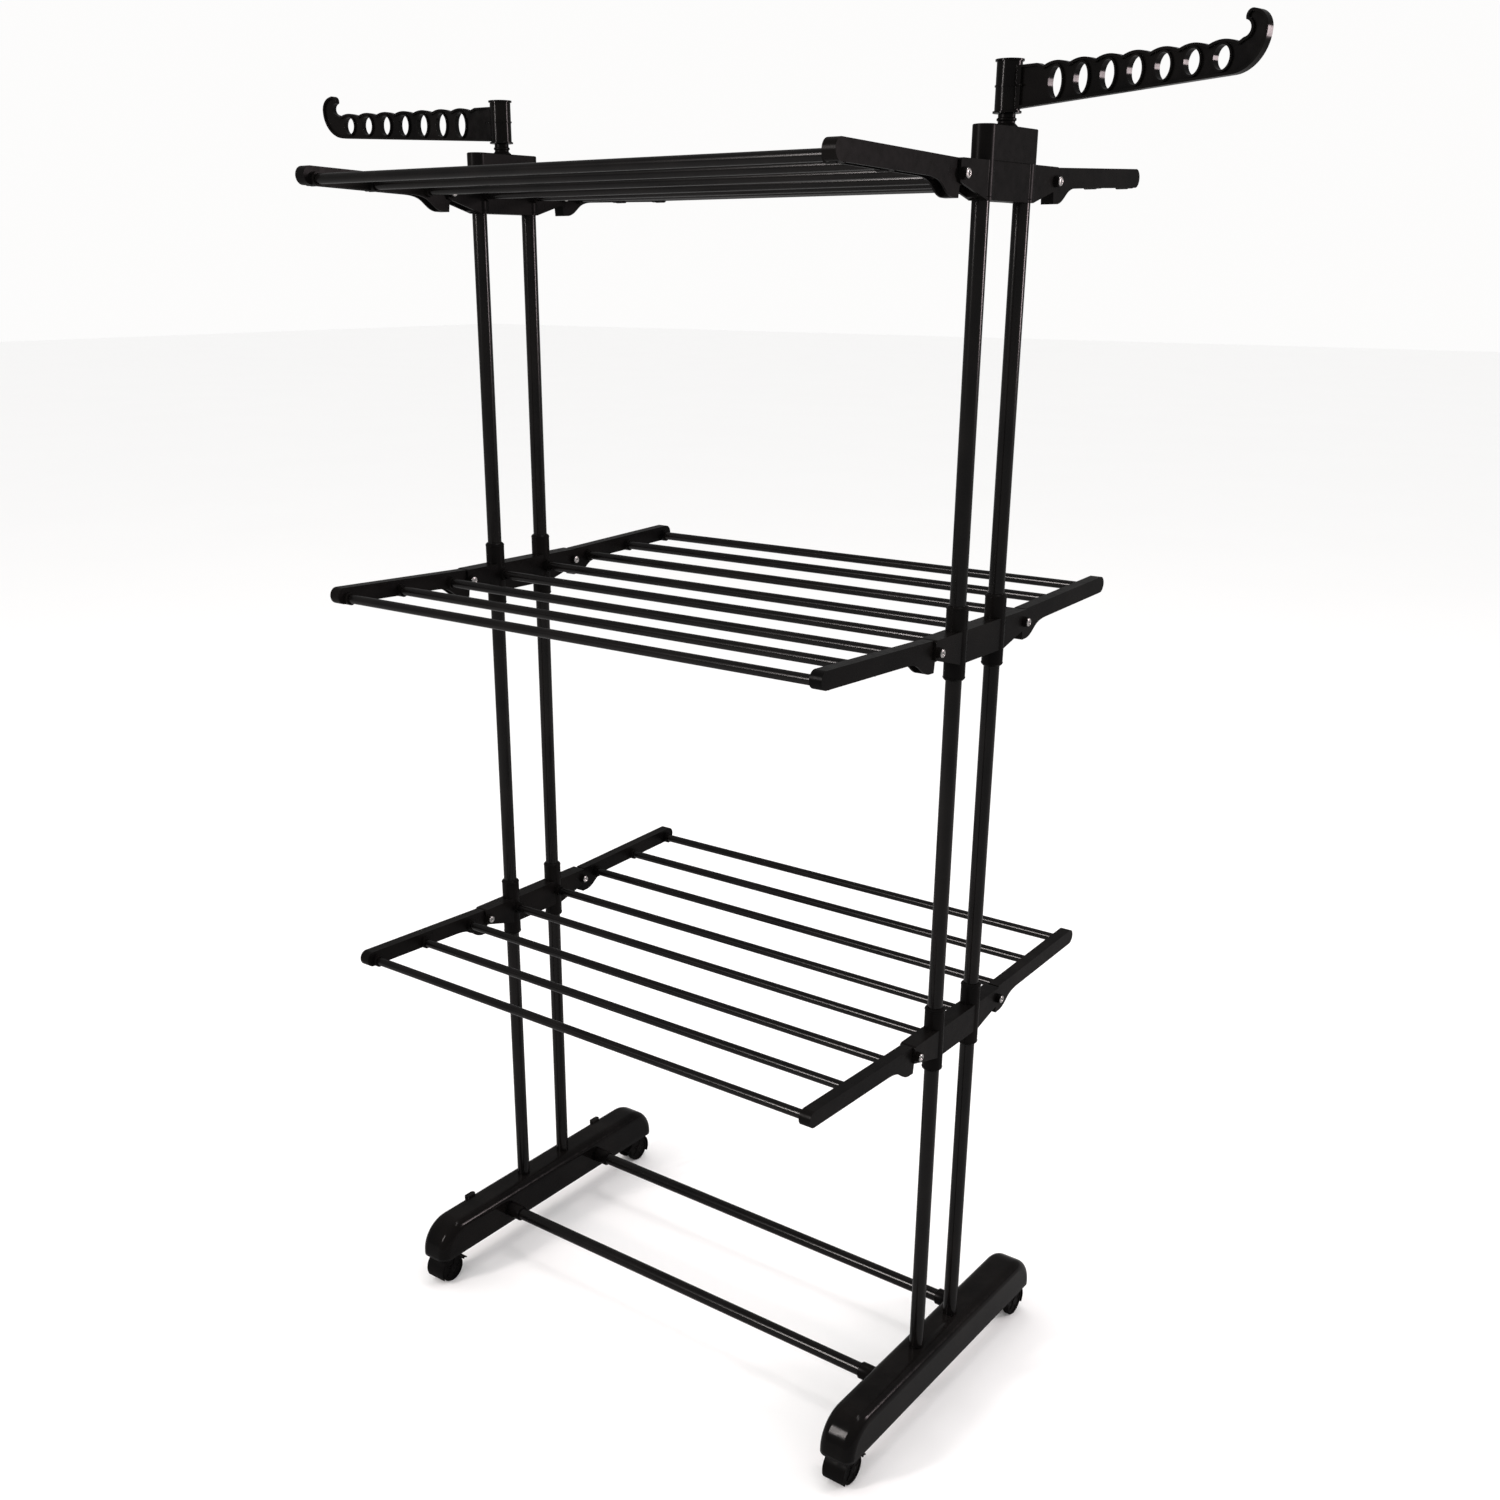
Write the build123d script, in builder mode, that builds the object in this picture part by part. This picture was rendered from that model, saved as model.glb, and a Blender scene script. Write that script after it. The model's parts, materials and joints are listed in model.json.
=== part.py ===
"""Three-tier clothes drying rack on casters, with folding wings and two hanger arms.

Frame: +Z up, X along the bars, Y from front (-Y) to rear (+Y), origin on the floor
under the middle of the rack.
"""
import math
import os

from build123d import *

os.makedirs("parts", exist_ok=True)

# ---- driving dimensions, in millimetres -------------------------------------------
TIERS = {"low": 534.0, "mid": 1009.5, "top": 1473.0}  # height of each tier's bar plane
POST_X = 345.0  # post plane of each side frame
POST_Y = 43.85  # posts in front of and behind the middle
POST_DIA = 18.0
POST_WALL = 0.8

BAR_DIA = 11.0
BAR_WALL = 0.6
BAR_FIT = 0.08  # radial clearance of a bar in its socket
CENTRE_BAR_Y = 42.5
WING_BAR_Y = (133.2, 218.6, 302.8)
WING_SLOPE = 2.0  # degrees, rising outward

TUBE_FIT = 0.1  # radial clearance of a post or stretcher in its socket

BOSS_R = 12.1  # round post bosses of a bracket
SLEEVE_R = 12.0
BEAM_HALF = 10.3  # half thickness of a bracket's beam and ears
BLOCK_TOP = 14.5  # above the bar plane
BLOCK_BOTTOM = -21.5
SLEEVE_TOP = 41.0
SLEEVE_BOTTOM = -40.5
SOCKET_STOP = 8.0  # posts stop this far above and below the bar plane
EAR_TIP = 105.0
EAR_TIP_BOTTOM = -6.5
CHANNEL_END = 60.0
CHANNEL_HALF = 7.5
CHANNEL_ROOF = 11.5
COLLAR_R = 7.6
COLLAR_OUT = 5.4  # how far a bar collar stands off the plastic

HINGE_Y = 99.2
HINGE_Z = 0.7  # above the bar plane
RIVET_R = 2.5
RIVET_BORE_R = 1.7
RIVET_HEAD_R = 4.7
RIVET_HEAD_ROUND = 0.9
RIVET_REACH = 16.2
RIVET_BOSS_R = 5.75
RIVET_BOSS_REACH = 14.6

ARM_HALF = 7.2
ARM_WALL = 2.2
ARM_TOP = 13.3  # above the line through hinge and bars
ARM_BOTTOM = -6.3
ARM_NOSE_R = 10.3
ARM_END = 16.0  # beyond the last bar
HEEL_DEPTH = -22.0
HEEL_END = 12.0  # the heel's outer corner, out from the hinge
ARM_TIP_ROUND = 9.0
ARM_STEP_GAP = 1.0  # between the ear's tip and the arm's raised top
ARM_SHOULDER = 8.0
ARM_SWEEP = ((62.0, ARM_BOTTOM), (36.0, -10.5), (HEEL_END, HEEL_DEPTH))

FOOT_TOP = 94.0
FOOT_BOTTOM = 44.0
FOOT_LENGTH = 476.0
FOOT_WIDTH = 48.0
FOOT_NOSE_R = 46.0
FOOT_EDGE_R = 13.0
FOOT_WALL = 2.6

STRETCHER_Y = 98.7
STRETCHER_Z = 67.0
STRETCHER_DIA = 17.0
STRETCHER_SLEEVE_R = 11.0
SLEEVE_SEAT_R = 13.0
SLEEVE_SEAT_DEPTH = 10.0
POST_BOTTOM = 54.0
STEM_BOSS_R = 8.0
RIB_Y = (-150, -70, 0, 70, 150)
RIB_WIDTH = 2.2
RIB_RECESS = 7.0  # ribs and post bosses stop this far above the foot's rim
BASE_GAP = 0.15
BASE_RECESS = 0.4  # the base plate lies this far inside the foot's rim
BASE_THICKNESS = 1.5
LUG_Y = 141.0
LUG_INSET = 6.0
LUG_WIDTH = 8.0
LUG_LENGTH = 18.0
LUG_CORNER_R = 3.5
LUG_ROOT = 8.0
LUG_HEIGHT = 3.0
SLEEVE_INNER_X = 297.0
SLEEVE_OUTER_X = 360.0

STEM_Y = 205.0
STEM_R = 4.0
STEM_BOTTOM = 28.0
STEM_TOP = 80.0
WHEEL_R = 20.0
WHEEL_Y = 213.0
WHEEL_INNER = 6.2  # inner and outer faces of each wheel from the caster's middle
WHEEL_OUTER = 14.6
AXLE_R = 2.5
HOOD_R = 23.0
HOOD_WALL = 1.8
HOOD_HALF = 15.6
HUB_R = 11.0
# outlines round the axle, as distance outward and height: what is cut from the hood's
# ring, the lip at its inner edge, and the web between the wheels
HOOD_MOUTH = ((0, 0), (40, -23), (40, -40), (-60, -40), (-60, 14))
HOOD_LIP = ((-19.6, 8), (-27, 4.5), (-27.6, 6), (-20.4, 11.5))
HOOD_WEB = ((-19, 4), (-19, 12), (-8, 20.5), (8, 20.5), (20.5, 8), (20.5, -6), (8, -10))

CAP_TOP = 47.0  # above the top tier's bar plane
CAP_R = 12.0
CAP_WALL = 2.4

BARREL_BOTTOM = 1532.0
BARREL_TOP = 1580.0
BARREL_R = 12.6
BARREL_FLANGE_R = 14.2
SPINDLE_R = 6.0
SPINDLE_TOP = 1573.0
NECK_R = 8.6
NECK_RIB_R = 9.8
SCREW_R = 1.95
SCREW_LENGTH = 12.0
SCREW_HEAD_R = 4.0
WASHER_R = 8.0

HANGER_TURN = {"right": 13.0, "left": 7.0}  # degrees turned towards the front
HANGER_HALF = 4.0
HANGER_WEB_HALF = 1.4
HANGER_RIM = 2.4
HOLE_RIM = 1.8
PANEL_START = 18.0  # the recess in each face starts this far from the barrel axis
HOLE_COUNT = 7
HOLE_FIRST = (60.0, 1555.4)  # distance from the barrel axis, and height
HOLE_LAST = (241.6, 1561.1)
HOLE_FIRST_SIZE = (16.0, 28.0)
HOLE_LAST_SIZE = (16.5, 20.0)
BLADE_ROOT = 8.0  # the blade starts inside the barrel's wall
BLADE_UNDERSIDE = 1535.0
SCALLOP_Z = 1570.6  # the blade's top edge, in the dips between its scallops
SCALLOP_RISE = 3.4
SCALLOP_LIFT = 1.4  # the top edge climbs this much from barrel to hook
SHOULDER_RISE = 3.0
SHOULDER_RUN = 8.0
# the hook: an arc through each three points in turn, from the blade's underside round to
# its throat, as distance from the barrel axis and height
HOOK_POINTS = (
    (252.0, 1546.6),
    (276.0, 1557.5),
    (284.7, 1579.2),
    (281.5, 1590.0),
    (271.0, 1596.2),
    (263.2, 1594.2),
    (262.6, 1588.4),
    (268.0, 1580.0),
    (262.0, 1575.0),
)

RUNNING = 0.05  # radial clearance of a pin that turns

SIDES = {"left": -1, "right": 1}
ENDS = {"front": -1, "rear": 1}


def save(part, name):
    part.label = name
    export_step(part, f"parts/{name}.step")


def tube(plane, radius, wall, length):
    with BuildPart() as piece:
        with BuildSketch(plane):
            Circle(radius)
            Circle(radius - wall, mode=Mode.SUBTRACT)
        extrude(amount=length)
    return piece.part


def across(x, y, z, side=1):
    """A plane at x, y, z whose normal points along X, outward on the given side."""
    return Plane(origin=(x, y, z), x_dir=(0, 1, 0), z_dir=(side, 0, 0))


# ---- feet: open-bottomed hulls ------------------------------------------------------
def hull(inset):
    """The outside of a foot, or its cavity when inset by the wall."""
    half = FOOT_LENGTH / 2 - inset
    top = FOOT_TOP - inset
    nose = FOOT_NOSE_R - inset
    bottom = FOOT_BOTTOM if inset == 0 else FOOT_BOTTOM - 1
    width = FOOT_WIDTH - 2 * inset
    with BuildPart() as shape:
        with BuildSketch(Plane.YZ.offset(-width / 2)):
            with BuildLine():
                Line((-half, bottom), (half, bottom))
                Line((half, bottom), (half, top - nose))
                RadiusArc((half, top - nose), (half - nose, top), -nose)
                Line((half - nose, top), (nose - half, top))
                RadiusArc((nose - half, top), (-half, top - nose), -nose)
                Line((-half, top - nose), (-half, bottom))
            make_face()
        extrude(amount=width)
        rims = shape.edges().filter_by(lambda e: e.center().Z > bottom + 2)
        rims = rims.filter_by(lambda e: abs(abs(e.center().X) - width / 2) < 0.01)
        fillet(rims.filter_by(lambda e: e.bounding_box().max.Z > top - nose + 1), FOOT_EDGE_R - inset)
    return shape.part


def foot_ribs():
    """Post and stem bosses and the cross ribs between them, kept inside the foot's skin."""
    with BuildPart() as ribs:
        with BuildSketch(Plane((0, 0, FOOT_BOTTOM + RIB_RECESS))):
            for end in ENDS.values():
                with Locations((0, end * POST_Y)):
                    Circle(SLEEVE_R)
            for y in RIB_Y:
                with Locations((0, y)):
                    Rectangle(FOOT_WIDTH, RIB_WIDTH)
        extrude(amount=FOOT_TOP - FOOT_BOTTOM - RIB_RECESS)
        for end in ENDS.values():
            with BuildSketch(Plane((0, end * STEM_Y, FOOT_BOTTOM + 2))):
                Circle(STEM_BOSS_R)
                Rectangle(FOOT_WIDTH, RIB_WIDTH)
            extrude(amount=STEM_TOP + 1 - FOOT_BOTTOM - 2)
        add(hull(FOOT_WALL / 2), mode=Mode.INTERSECT)
    return ribs.part


def make_foot(side):
    x = side * POST_X
    shift = Location((x, 0, 0))
    with BuildPart() as foot:
        add(hull(0).moved(shift))
        add(hull(FOOT_WALL).moved(shift), mode=Mode.SUBTRACT)
        add(foot_ribs().moved(shift))
        for end in ENDS.values():
            outer_wall = x + side * (FOOT_WIDTH - FOOT_WALL) / 2
            with BuildSketch(across(outer_wall, end * STRETCHER_Y, STRETCHER_Z, -side)):
                Circle(SLEEVE_SEAT_R)
            extrude(amount=SLEEVE_SEAT_DEPTH)
        for end in ENDS.values():
            with BuildSketch(Plane((x, end * POST_Y, POST_BOTTOM))):
                Circle(POST_DIA / 2 + TUBE_FIT)
            extrude(amount=FOOT_TOP, mode=Mode.SUBTRACT)
            with BuildSketch(Plane((x, end * STEM_Y, FOOT_BOTTOM))):
                Circle(STEM_R + 0.02)
            extrude(amount=STEM_TOP - FOOT_BOTTOM, mode=Mode.SUBTRACT)
            with BuildSketch(across(x - side * FOOT_WIDTH, end * STRETCHER_Y, STRETCHER_Z, side)):
                Circle(STRETCHER_SLEEVE_R + 0.05)
            extrude(amount=FOOT_WIDTH + SLEEVE_OUTER_X - POST_X, mode=Mode.SUBTRACT)
        if side < 0:
            # two small lugs on the outer top edge of the left foot
            lug_x = x - FOOT_WIDTH / 2 + LUG_INSET
            for end in ENDS.values():
                with BuildSketch(Plane((lug_x, end * LUG_Y, FOOT_TOP - LUG_ROOT))):
                    RectangleRounded(LUG_WIDTH, LUG_LENGTH, LUG_CORNER_R)
                extrude(amount=LUG_ROOT + LUG_HEIGHT)
    return foot.part


def make_foot_base(side):
    """The plate that closes a foot underneath, let through for the caster stems."""
    width = FOOT_WIDTH - 2 * FOOT_WALL - 2 * BASE_GAP
    length = FOOT_LENGTH - 2 * FOOT_WALL - 2 * BASE_GAP
    with BuildPart() as base:
        with BuildSketch(Plane((side * POST_X, 0, FOOT_BOTTOM + BASE_RECESS))):
            RectangleRounded(width, length, FOOT_EDGE_R - FOOT_WALL - BASE_GAP)
            with Locations((0, -STEM_Y), (0, STEM_Y)):
                Circle(STEM_R + BASE_GAP, mode=Mode.SUBTRACT)
        extrude(amount=BASE_THICKNESS)
    return base.part


for name, side in SIDES.items():
    save(make_foot(side), f"foot_{name}")
    save(make_foot_base(side), f"foot_base_{name}")

# ---- posts and stretchers ---------------------------------------------------------
POST_SPANS = {
    "lower": (POST_BOTTOM, TIERS["low"] - SOCKET_STOP),
    "middle": (TIERS["low"] + SOCKET_STOP, TIERS["mid"] - SOCKET_STOP),
    "upper": (TIERS["mid"] + SOCKET_STOP, TIERS["top"] - SOCKET_STOP),
}
for name, side in SIDES.items():
    for span, (bottom, top) in POST_SPANS.items():
        with BuildPart() as posts:
            for end in ENDS.values():
                start = Plane((side * POST_X, end * POST_Y, bottom))
                add(tube(start, POST_DIA / 2, POST_WALL, top - bottom))
        save(posts.part, f"posts_{span}_{name}")

STRETCHER_END = SLEEVE_OUTER_X - 3
with BuildPart() as stretchers:
    for end in ENDS.values():
        start = across(-STRETCHER_END, end * STRETCHER_Y, STRETCHER_Z)
        add(tube(start, STRETCHER_DIA / 2, POST_WALL, 2 * STRETCHER_END))
save(stretchers.part, "stretchers")

with BuildPart() as sleeves:
    for side in SIDES.values():
        for end in ENDS.values():
            with BuildSketch(across(side * SLEEVE_INNER_X, end * STRETCHER_Y, STRETCHER_Z, side)):
                Circle(STRETCHER_SLEEVE_R)
            extrude(amount=SLEEVE_OUTER_X - SLEEVE_INNER_X)
    mouths = sleeves.edges().filter_by(GeomType.CIRCLE)
    chamfer(mouths.filter_by(lambda e: abs(abs(e.center().X) - SLEEVE_INNER_X) < 0.1), 1.2)
    for side in SIDES.values():
        for end in ENDS.values():
            with BuildSketch(across(side * SLEEVE_INNER_X, end * STRETCHER_Y, STRETCHER_Z, side)):
                Circle(STRETCHER_DIA / 2 + TUBE_FIT)
            extrude(amount=STRETCHER_END - SLEEVE_INNER_X, mode=Mode.SUBTRACT)
save(sleeves.part, "stretcher_sleeves")


# ---- tier brackets ------------------------------------------------------------------
def make_bracket(side, plane_z, sleeves):
    """One side's bracket: post bosses, beam, two ears and the bar collars."""
    x = side * POST_X
    base = plane_z + BLOCK_BOTTOM
    height = BLOCK_TOP - BLOCK_BOTTOM
    with BuildPart() as bracket:
        with BuildSketch(Plane.YZ.offset(x - BEAM_HALF)):
            with BuildLine():
                Polyline(
                    (-EAR_TIP, plane_z + BLOCK_TOP),
                    (-EAR_TIP, plane_z + EAR_TIP_BOTTOM),
                    (-50, base),
                    (50, base),
                    (EAR_TIP, plane_z + EAR_TIP_BOTTOM),
                    (EAR_TIP, plane_z + BLOCK_TOP),
                    close=True,
                )
            make_face()
        extrude(amount=2 * BEAM_HALF)
        tips = bracket.edges().filter_by(Axis.X).sort_by(Axis.Z)[-2:]
        fillet(tips, 4)
        for end in ENDS.values():
            with BuildSketch(Plane((x, end * POST_Y, base))):
                Circle(BOSS_R)
            extrude(amount=height)
        if sleeves:
            for end in ENDS.values():
                with BuildSketch(Plane((x, end * POST_Y, plane_z + SLEEVE_BOTTOM))):
                    Circle(SLEEVE_R)
                extrude(amount=SLEEVE_TOP - SLEEVE_BOTTOM)
            rings = bracket.edges().filter_by(GeomType.CIRCLE).sort_by(Axis.Z)
            chamfer(rings[:2] + rings[-2:], 1.8)
        # channels for the wing arms, open at the bottom and outward
        for end in ENDS.values():
            middle = end * (CHANNEL_END + EAR_TIP + 1) / 2
            with BuildSketch(Plane((x, middle, base - 1))):
                Rectangle(2 * CHANNEL_HALF, EAR_TIP + 1 - CHANNEL_END)
            extrude(amount=CHANNEL_ROOF - BLOCK_BOTTOM + 1, mode=Mode.SUBTRACT)
        # rivet bosses on both faces of each ear
        for end in ENDS.values():
            for face in (-1, 1):
                with BuildSketch(across(x + face * CHANNEL_HALF, end * HINGE_Y, plane_z + HINGE_Z, face)):
                    Circle(RIVET_BOSS_R)
                extrude(amount=RIVET_BOSS_REACH - CHANNEL_HALF)
        # collars for the two centre bars on the inner face
        for end in ENDS.values():
            with BuildSketch(across(x, end * CENTRE_BAR_Y, plane_z, -side)):
                Circle(COLLAR_R)
            extrude(amount=BOSS_R + COLLAR_OUT)
        for end in ENDS.values():
            with BuildSketch(across(x - 20, end * HINGE_Y, plane_z + HINGE_Z)):
                Circle(RIVET_R + 0.02)
            extrude(amount=40, mode=Mode.SUBTRACT)
            with BuildSketch(Plane((x, end * POST_Y, plane_z + SLEEVE_BOTTOM - 1))):
                Circle(POST_DIA / 2 + TUBE_FIT)
            extrude(amount=-SLEEVE_BOTTOM + 1 - SOCKET_STOP, mode=Mode.SUBTRACT)
            with BuildSketch(across(x + side * 4, end * CENTRE_BAR_Y, plane_z, -side)):
                Circle(BAR_DIA / 2 + BAR_FIT)
            extrude(amount=40, mode=Mode.SUBTRACT)
            if sleeves:
                with BuildSketch(Plane((x, end * POST_Y, plane_z + SOCKET_STOP))):
                    Circle(POST_DIA / 2 + TUBE_FIT)
                extrude(amount=SLEEVE_TOP, mode=Mode.SUBTRACT)
    return bracket.part


for tier, plane_z in TIERS.items():
    for name, side in SIDES.items():
        save(make_bracket(side, plane_z, tier != "top"), f"bracket_{tier}_{name}")

# ---- centre bars --------------------------------------------------------------------
CENTRE_BAR_END = POST_X + 3.5
for tier, plane_z in TIERS.items():
    with BuildPart() as bars:
        for end in ENDS.values():
            start = across(-CENTRE_BAR_END, end * CENTRE_BAR_Y, plane_z)
            add(tube(start, BAR_DIA / 2, BAR_WALL, 2 * CENTRE_BAR_END))
    save(bars.part, f"centre_bars_{tier}")


# ---- wings: two arms and three bars ---------------------------------------------------
def wing_point(plane_z, out, up):
    """Y and Z of a point given outward from the hinge along the wing and above it."""
    slope = math.radians(WING_SLOPE)
    y = HINGE_Y + out * math.cos(slope) - up * math.sin(slope)
    z = plane_z + HINGE_Z + out * math.sin(slope) + up * math.cos(slope)
    return y, z


BAR_OUT = [(y - HINGE_Y) / math.cos(math.radians(WING_SLOPE)) for y in WING_BAR_Y]


def make_arm(side, end, plane_z):
    """An inverted channel with a nose round the rivet, a heel and a rounded tip."""
    x = side * POST_X
    tip = BAR_OUT[-1] + ARM_END
    slope = math.radians(WING_SLOPE)
    plane = Plane(
        origin=(x - end * ARM_HALF, end * HINGE_Y, plane_z + HINGE_Z),
        x_dir=(0, end * math.cos(slope), math.sin(slope)),
        z_dir=(end, 0, 0),
    )
    step = EAR_TIP - HINGE_Y + ARM_STEP_GAP
    middle = (ARM_TOP + ARM_BOTTOM) / 2
    round_start = tip - ARM_TIP_ROUND
    hollow_start = HEEL_END + 2
    hollow_end = tip - ARM_TIP_ROUND + 1
    with BuildPart() as arm:
        with BuildSketch(plane):
            with BuildLine():
                Polyline(
                    (step, ARM_SHOULDER),
                    (step, ARM_TOP),
                    (round_start, ARM_TOP),
                )
                ThreePointArc((round_start, ARM_TOP), (tip, middle), (round_start, ARM_BOTTOM))
                Line((round_start, ARM_BOTTOM), ARM_SWEEP[0])
                Spline(*ARM_SWEEP, tangents=[(-1, 0), (-1, -0.1)])
                Polyline(
                    (HEEL_END, HEEL_DEPTH),
                    (2, HEEL_DEPTH),
                    (0, 0),
                    (step, ARM_SHOULDER),
                )
            make_face()
            Circle(ARM_NOSE_R)
        extrude(amount=2 * ARM_HALF)
        # hollow underneath, leaving the roof, the two walls and the tip
        with BuildSketch(plane.offset(ARM_WALL)):
            with BuildLine():
                Polyline(
                    (hollow_start, HEEL_DEPTH - 2),
                    (hollow_start, ARM_TOP - ARM_WALL),
                    (hollow_end, ARM_TOP - ARM_WALL),
                    (hollow_end, HEEL_DEPTH - 2),
                    close=True,
                )
            make_face()
        extrude(amount=2 * (ARM_HALF - ARM_WALL), mode=Mode.SUBTRACT)
        # bar sockets: a boss across the channel and a collar on the inner face
        inward = plane.offset(ARM_HALF)
        for out in BAR_OUT:
            with BuildSketch(inward):
                with Locations((out, 0)):
                    Circle(COLLAR_R)
            extrude(amount=-side * end * (ARM_HALF + COLLAR_OUT))
            with BuildSketch(inward):
                with Locations((out, 0)):
                    Circle(COLLAR_R - 0.6)
            extrude(amount=side * end * (ARM_HALF - ARM_WALL / 2))
        for out in BAR_OUT:
            with BuildSketch(plane.offset(ARM_HALF + side * end * 2.5)):
                with Locations((out, 0)):
                    Circle(BAR_DIA / 2 + BAR_FIT)
            extrude(amount=-side * end * 30, mode=Mode.SUBTRACT)
        with BuildSketch(plane.offset(-1)):
            Circle(RIVET_R + RUNNING)
        extrude(amount=2 * ARM_HALF + 2, mode=Mode.SUBTRACT)
    return arm.part


WING_BAR_END = POST_X + 2.0
for tier, plane_z in TIERS.items():
    for end_name, end in ENDS.items():
        for side_name, side in SIDES.items():
            save(make_arm(side, end, plane_z), f"wing_arm_{tier}_{end_name}_{side_name}")
        with BuildPart() as bars:
            for out in BAR_OUT:
                y, z = wing_point(plane_z, out, 0)
                add(tube(across(-WING_BAR_END, end * y, z), BAR_DIA / 2, BAR_WALL, 2 * WING_BAR_END))
        save(bars.part, f"wing_bars_{tier}_{end_name}")

# ---- hinge rivets: tubular, with a rolled head at each end -----------------------------
with BuildPart() as rivets:
    for plane_z in TIERS.values():
        for side in SIDES.values():
            for end in ENDS.values():
                x, y, z = side * POST_X, end * HINGE_Y, plane_z + HINGE_Z
                with BuildSketch(across(x - RIVET_REACH, y, z)):
                    Circle(RIVET_R)
                extrude(amount=2 * RIVET_REACH)
                for face in (-1, 1):
                    with BuildSketch(across(x + face * RIVET_BOSS_REACH, y, z, face)):
                        Circle(RIVET_HEAD_R)
                    extrude(amount=RIVET_REACH - RIVET_BOSS_REACH)
                with BuildSketch(across(x - RIVET_REACH - 1, y, z)):
                    Circle(RIVET_BORE_R)
                extrude(amount=2 * RIVET_REACH + 2, mode=Mode.SUBTRACT)
    circles = rivets.edges().filter_by(GeomType.CIRCLE)
    lips = circles.filter_by(lambda e: abs(e.radius - RIVET_HEAD_R) < 0.01)
    outer = lips.filter_by(lambda e: abs(abs(abs(e.center().X) - POST_X) - RIVET_REACH) < 0.01)
    fillet(outer, RIVET_HEAD_ROUND)
save(rivets.part, "hinge_rivets")

# ---- caps on the top brackets ----------------------------------------------------------
CAP_BASE = TIERS["top"] + BLOCK_TOP
CAP_HEIGHT = CAP_TOP - BLOCK_TOP
for name, side in SIDES.items():
    with BuildPart() as cap:
        with BuildSketch(Plane((side * POST_X, 0, CAP_BASE))):
            SlotCenterToCenter(2 * POST_Y, 2 * CAP_R, rotation=90)
        extrude(amount=CAP_HEIGHT)
        fillet(cap.faces().sort_by(Axis.Z)[-1].edges(), 1.2)
        with BuildSketch(Plane((side * POST_X, 0, CAP_BASE))):
            SlotCenterToCenter(2 * POST_Y, 2 * (CAP_R - CAP_WALL), rotation=90)
            Circle(SPINDLE_R + 3.4, mode=Mode.SUBTRACT)
        extrude(amount=CAP_HEIGHT - CAP_WALL, mode=Mode.SUBTRACT)
        with BuildSketch(Plane((side * POST_X, 0, CAP_BASE))):
            Circle(SPINDLE_R + 0.02)
        extrude(amount=CAP_HEIGHT, mode=Mode.SUBTRACT)
    save(cap.part, f"top_cap_{name}")

# ---- hanger pivots: ribbed necks with a spindle through cap and barrel -------------------
NECK_BASE = CAP_BASE + CAP_HEIGHT
NECK_TOP = BARREL_BOTTOM - 0.3
# a flared foot and one rib, as radius and height above the cap
NECK_PROFILE = (
    (NECK_RIB_R + 2, 0),
    (NECK_RIB_R, 2),
    (NECK_R, 3),
    (NECK_R, 5),
    (NECK_RIB_R, 5.5),
    (NECK_RIB_R, 7.5),
    (NECK_R, 8),
)
for name, side in SIDES.items():
    with BuildPart() as pivot:
        with BuildSketch(Plane.XZ.move(Location((side * POST_X, 0, 0)))):
            with BuildLine():
                Polyline(
                    (0, CAP_BASE + 1),
                    (SPINDLE_R, CAP_BASE + 1),
                    (SPINDLE_R, NECK_BASE),
                    *[(radius, NECK_BASE + rise) for radius, rise in NECK_PROFILE],
                    (NECK_R, NECK_TOP),
                    (SPINDLE_R, NECK_TOP),
                    (SPINDLE_R, SPINDLE_TOP),
                    (0, SPINDLE_TOP),
                    close=True,
                )
            make_face()
        revolve(axis=Axis((side * POST_X, 0, 0), (0, 0, 1)))
        with BuildSketch(Plane((side * POST_X, 0, SPINDLE_TOP - 14))):
            Circle(SCREW_R + 0.05)
        extrude(amount=20, mode=Mode.SUBTRACT)
    save(pivot.part, f"hanger_pivot_{name}")

with BuildPart() as retainers:
    for side in SIDES.values():
        with BuildSketch(Plane.XZ.move(Location((side * POST_X, 0, 0)))):
            with BuildLine():
                Polyline(
                    (0, SPINDLE_TOP - SCREW_LENGTH),
                    (SCREW_R, SPINDLE_TOP - SCREW_LENGTH),
                    (SCREW_R, SPINDLE_TOP),
                    (WASHER_R, SPINDLE_TOP),
                    (WASHER_R, SPINDLE_TOP + 1.4),
                    (SCREW_HEAD_R, SPINDLE_TOP + 1.4),
                    (SCREW_HEAD_R - 0.8, SPINDLE_TOP + 3.6),
                    (0, SPINDLE_TOP + 3.6),
                    close=True,
                )
            make_face()
        revolve(axis=Axis((side * POST_X, 0, 0), (0, 0, 1)))
save(retainers.part, "hanger_screws")


# ---- hanger arms: barrel, perforated blade and hook ----------------------------------------
def hole_sizes():
    """Centre and size of each oval hole along the blade."""
    for i in range(HOLE_COUNT):
        t = i / (HOLE_COUNT - 1)
        centre = [a + (b - a) * t for a, b in zip(HOLE_FIRST, HOLE_LAST)]
        size = [a + (b - a) * t for a, b in zip(HOLE_FIRST_SIZE, HOLE_LAST_SIZE)]
        yield centre, size


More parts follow.
